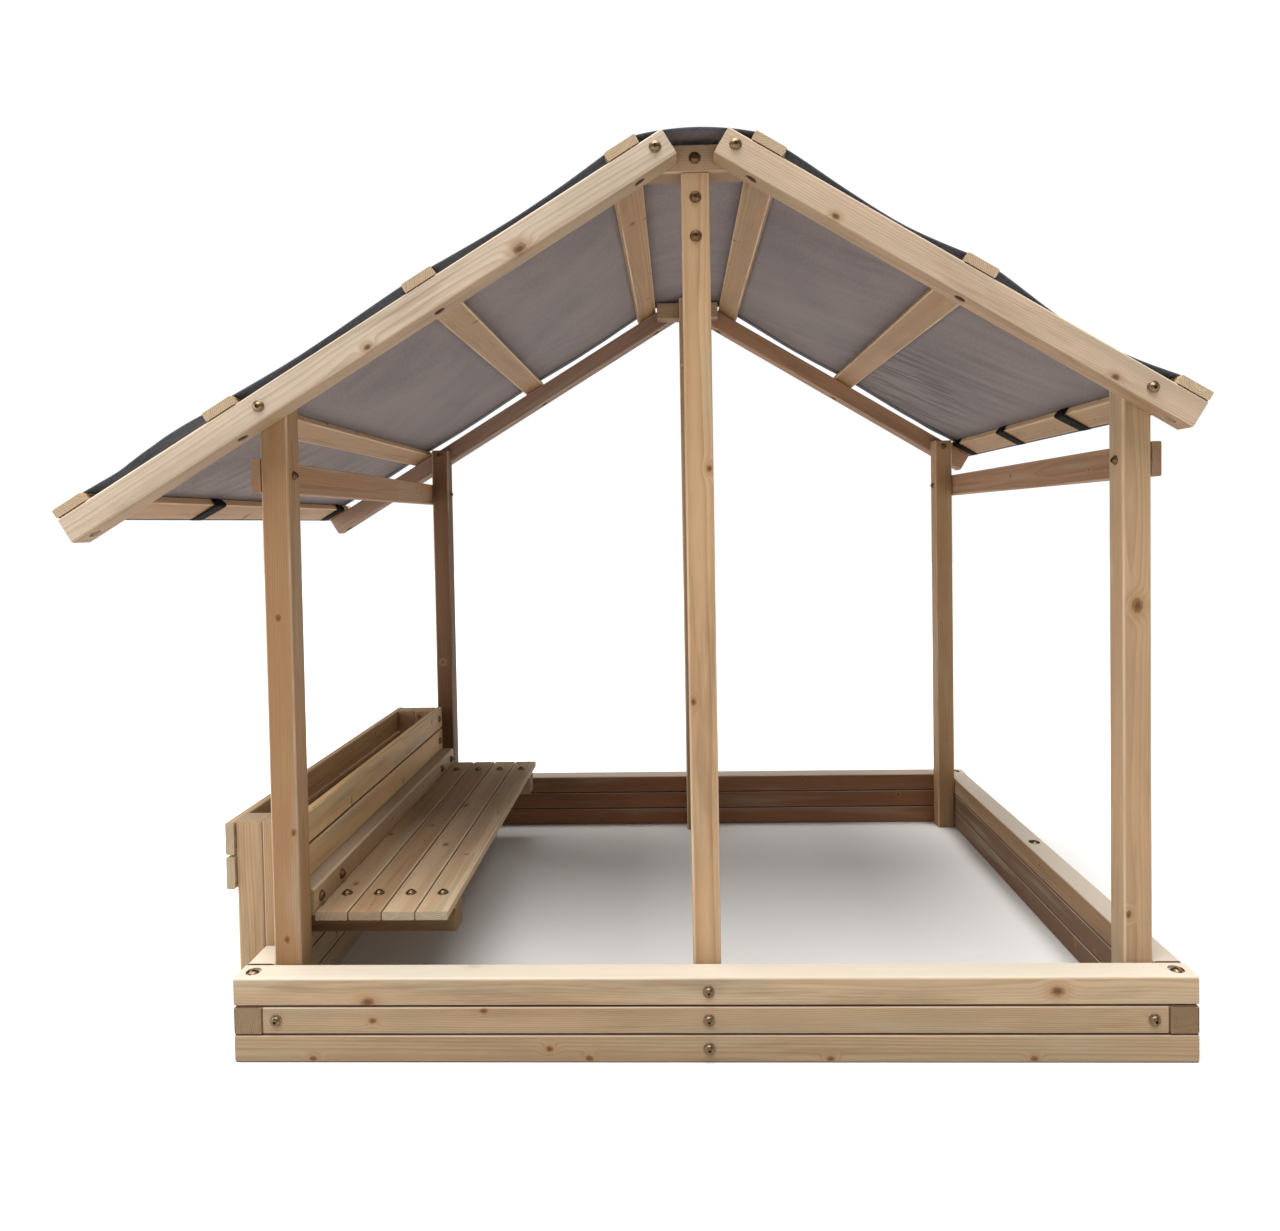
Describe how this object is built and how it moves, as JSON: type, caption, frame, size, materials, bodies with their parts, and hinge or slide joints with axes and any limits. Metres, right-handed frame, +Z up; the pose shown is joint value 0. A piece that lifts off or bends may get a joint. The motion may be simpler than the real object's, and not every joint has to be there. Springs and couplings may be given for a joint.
{
  "type": "sandbox with cover",
  "caption": "Timber sandbox of stacked square beams with a gabled cloth cover on posts and rafters, a slatted bench inside and a planter trough along one side.",
  "frame": {"origin": "centre of the outer box's base, on the ground: halfway from the left eave's hem to the right eave's hem, and halfway from the front wall's outer face to the back wall's", "axes": "+X to the right as seen from the front, along the longest side; +Y from front to back, along the ridge; +Z up"},
  "size_m": [1.7956, 1.1, 1.4491],
  "materials": {
    "wall_timber": "planed pine with knots, bare, long edges rounded",
    "post_timber": "planed pine with pink-brown streaks, bare",
    "rafter_timber": "planed pine with knots, bare",
    "slat_board": "planed thin pine board, bare",
    "canopy_fabric": "dark slate woven cloth with a matte surface",
    "strap_webbing": "black woven strap, matte",
    "bolt_steel": "zinc plated, slightly yellowed"
  },
  "bodies": {
    "root": {"front_rail_bottom": "wall_timber", "front_rail_middle": "wall_timber", "front_rail_top": "wall_timber", "back_rail_bottom": "wall_timber", "back_rail_middle": "wall_timber", "back_rail_top": "wall_timber", "left_rail_bottom": "wall_timber", "left_rail_middle": "wall_timber", "left_rail_top": "wall_timber", "right_rail_bottom": "wall_timber", "right_rail_middle": "wall_timber", "right_rail_top": "wall_timber", "post_front_left": "post_timber", "post_front_right": "post_timber", "post_front_centre": "post_timber", "post_back_left": "post_timber", "post_back_right": "post_timber", "post_back_centre": "post_timber", "ridge_gusset_front": "rafter_timber", "ridge_splice_front": "post_timber", "rafter_front_left": "rafter_timber", "rafter_front_right": "rafter_timber", "ridge_gusset_back": "rafter_timber", "ridge_splice_back": "post_timber", "rafter_back_left": "rafter_timber", "rafter_back_right": "rafter_timber", "roof_batten_left_1": "slat_board", "roof_batten_left_2": "slat_board", "roof_batten_left_3": "slat_board", "roof_batten_left_4": "slat_board", "roof_batten_right_1": "slat_board", "roof_batten_right_2": "slat_board", "roof_batten_right_3": "slat_board", "tie_rail_left": "slat_board", "tie_rail_right": "slat_board", "canopy": "canopy_fabric", "planter_upright_front_outer": "post_timber", "planter_upright_front_inner": "post_timber", "planter_upright_back_outer": "post_timber", "planter_upright_back_inner": "post_timber", "planter_slat_lower": "slat_board", "planter_slat_upper": "slat_board", "backrest_slat_lower": "slat_board", "backrest_slat_upper": "slat_board", "planter_floor": "slat_board", "bench_block_front": "post_timber", "bench_block_back": "post_timber", "bench_rail": "post_timber", "bench_arm_front": "post_timber", "bench_arm_back": "post_timber", "bench_slat_1": "slat_board", "bench_slat_2": "slat_board", "bench_slat_3": "slat_board", "bench_slat_4": "slat_board", "corner_bolt_front_left": "bolt_steel", "corner_bolt_front_right": "bolt_steel", "corner_bolt_back_left": "bolt_steel", "corner_bolt_back_right": "bolt_steel"}
  },
  "joints": []
}
